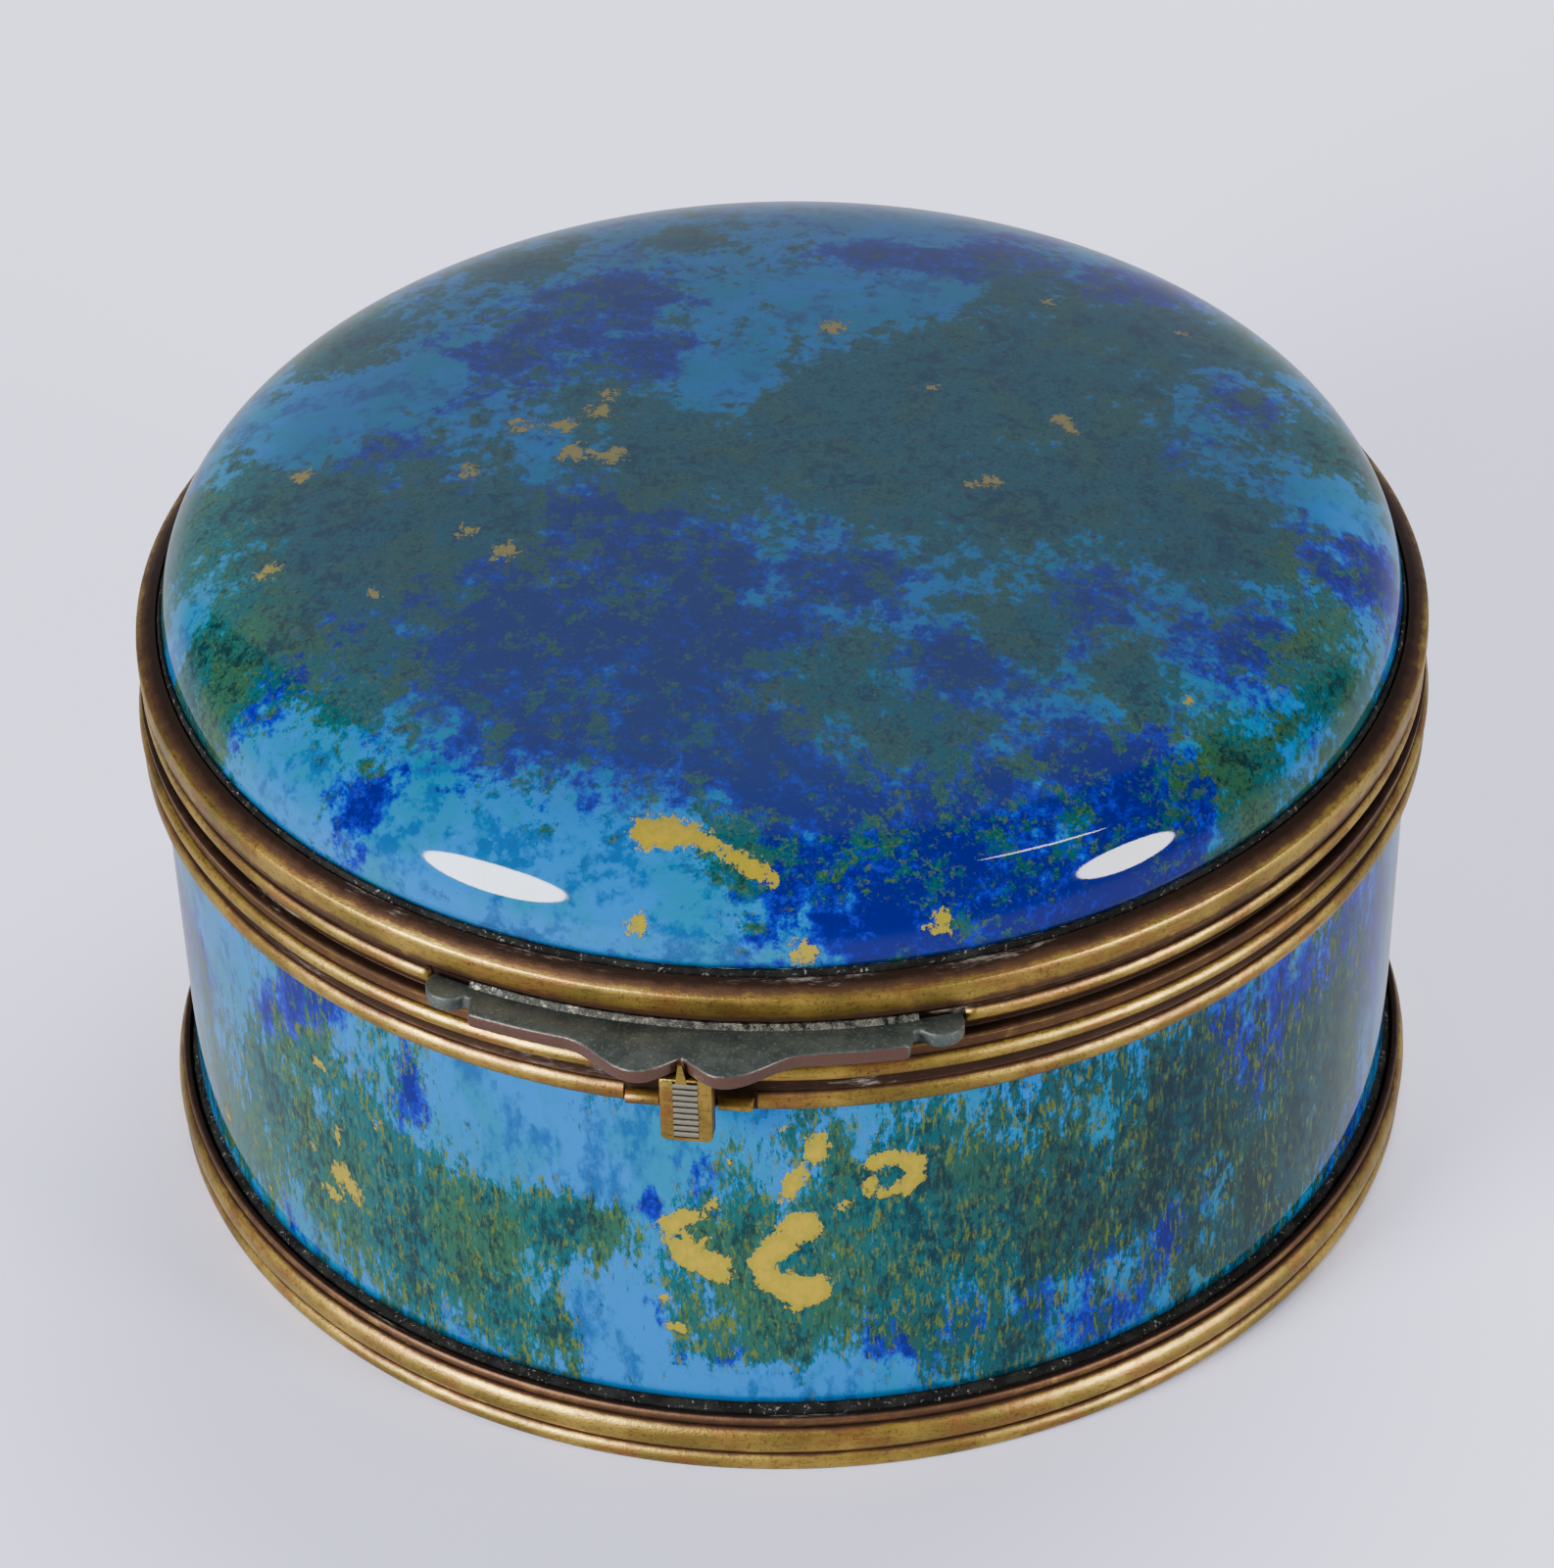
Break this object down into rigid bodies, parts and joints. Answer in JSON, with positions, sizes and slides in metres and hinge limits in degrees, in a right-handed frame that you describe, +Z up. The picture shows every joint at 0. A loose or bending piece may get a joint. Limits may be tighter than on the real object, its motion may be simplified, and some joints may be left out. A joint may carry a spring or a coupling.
{
  "type": "porcelain box",
  "caption": "Round glazed porcelain box with a domed hinged lid, brass rims and foot ring, a shaped thumb piece and a sprung front latch.",
  "frame": {"origin": "on the box's axis, level with the underside of the base ring", "axes": "+Z up along the axis; the latch and thumb piece face -Y; the hinge is at +Y"},
  "size_m": [0.1208, 0.1324, 0.0729],
  "materials": {
    "blue glaze": "gloss",
    "aged brass": "satin",
    "worn latch brass": "satin",
    "pin brass": "satin",
    "dark patina": "matte",
    "black bedding": "matte"
  },
  "bodies": {
    "box": {"porcelain_bowl": "blue glaze", "base_bedding": "black bedding", "base_ring": "aged brass", "body_rim": "aged brass", "hinge_leaf_body": "aged brass", "hinge_pin": "pin brass", "latch_pin": "pin brass", "latch_knuckle_left": "worn latch brass", "latch_knuckle_right": "worn latch brass"},
    "lid": {"lid_rim": "aged brass", "lid_bedding": "black bedding", "porcelain_lid": "blue glaze", "thumb_piece": "dark patina", "hinge_leaf_lid": "aged brass"},
    "latch": {"latch_lever": "worn latch brass"}
  },
  "joints": [
    {"name": "lid_hinge", "type": "hinge", "parent": "box", "child": "lid", "pos_m": [0, 0.0642, 0.05055], "axis": [-1, 0, 0], "range_deg": [0, 100]},
    {"name": "latch_pivot", "type": "hinge", "parent": "box", "child": "latch", "pos_m": [0, -0.0604, 0.0447], "axis": [1, 0, 0], "range_deg": [0, 12], "stiffness_Nm_per_rad": 0.001, "springref_deg": -2.86}
  ]
}
